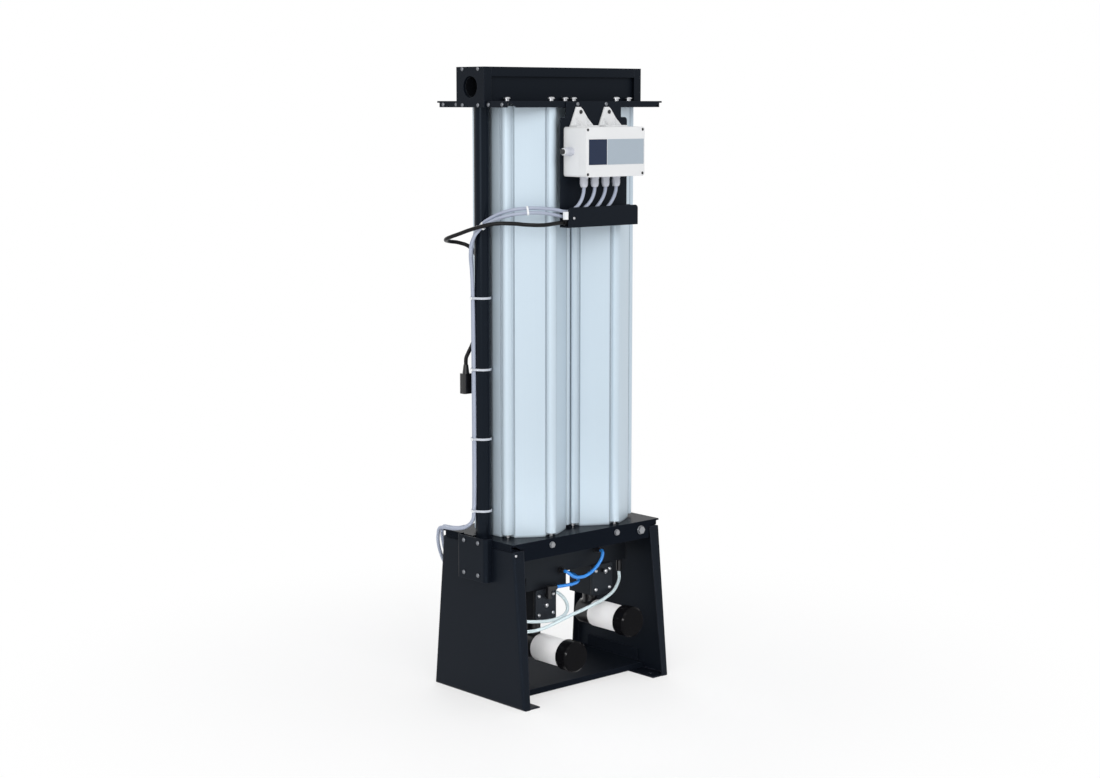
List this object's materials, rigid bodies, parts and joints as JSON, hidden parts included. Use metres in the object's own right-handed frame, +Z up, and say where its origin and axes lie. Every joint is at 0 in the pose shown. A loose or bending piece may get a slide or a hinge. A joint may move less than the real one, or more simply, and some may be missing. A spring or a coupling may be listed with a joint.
{
  "type": "desiccant air dryer",
  "caption": "Floor-standing desiccant air dryer: extruded drying columns between folded plates, header with side ports, riser pipe, controller, and valves with silencers in an open base.",
  "frame": {"origin": "on the floor at the centre of the four floor bolt holes", "axes": "+Z up, +X to the right seen from the front, the controller faces -Y"},
  "size_m": [0.5244, 0.3616, 1.438],
  "materials": {
    "powder_coat": "satin blue-black powder coat",
    "anodised_aluminium": "satin anodised extrusion",
    "zinc_steel": "zinc-plated or stainless steel",
    "machined_aluminium": "machined",
    "black_aluminium": "black anodised",
    "black_rubber": "moulded rubber",
    "drying_beads": "bed of porous beads",
    "brass": "turned brass",
    "enclosure_plastic": "moulded, lightly textured",
    "gland_plastic": "moulded nylon",
    "tie_nylon": "moulded nylon",
    "label_film": "satin film, bare",
    "board": "green solder resist",
    "cable_sheath": "grey sheath",
    "black_plastic": "black moulded plastic",
    "silencer_fabric": "porous white element",
    "blue_tube": "blue polyurethane tube",
    "white_tube": "natural polyethylene tube"
  },
  "bodies": {
    "root": {"left_side_panel": "powder_coat", "right_side_panel": "powder_coat", "floor_pan": "powder_coat", "base_plate": "powder_coat", "frame_bolts": "zinc_steel", "apron_bolts": "zinc_steel", "left_column": "anodised_aluminium", "right_column": "anodised_aluminium", "lower_column_bolts": "zinc_steel", "upper_column_bolts": "zinc_steel", "left_lower_plug": "machined_aluminium", "right_lower_plug": "machined_aluminium", "left_upper_plug": "machined_aluminium", "right_upper_plug": "machined_aluminium", "plug_rings": "black_rubber", "lower_screens": "zinc_steel", "upper_screens": "zinc_steel", "left_bead_bed": "drying_beads", "right_bead_bed": "drying_beads", "top_plate": "powder_coat", "header_body": "powder_coat", "header_lid": "powder_coat", "inlet_end_plate": "powder_coat", "outlet_end_plate": "powder_coat", "end_plate_screws": "zinc_steel", "inlet_elbow": "machined_aluminium", "outlet_manifold": "machined_aluminium", "check_balls": "zinc_steel", "purge_nozzle": "brass", "riser_tube": "powder_coat", "riser_foot": "machined_aluminium", "foot_cover": "powder_coat", "cover_screws": "zinc_steel", "controller_bracket": "powder_coat", "controller_box": "enclosure_plastic", "controller_lid": "enclosure_plastic", "fixing_lugs": "enclosure_plastic", "controller_screws": "black_plastic", "circuit_board": "board", "label_plate": "label_film", "cable_glands": "gland_plastic", "lead_boot": "black_plastic", "control_cables": "cable_sheath", "power_lead": "black_plastic", "power_plug": "black_plastic", "cable_ties": "tie_nylon", "air_manifold": "black_aluminium", "left_valve_body": "black_aluminium", "right_valve_body": "black_aluminium", "valve_covers": "black_aluminium", "valve_diaphragms": "black_rubber", "valve_screws": "zinc_steel", "exhaust_elbows": "black_plastic", "silencer_elements": "silencer_fabric", "silencer_caps": "black_plastic", "pilot_valve": "black_aluminium", "pilot_coils": "black_plastic", "push_in_fittings": "black_plastic", "blue_tubes": "blue_tube", "white_tubes": "white_tube"}
  },
  "joints": []
}
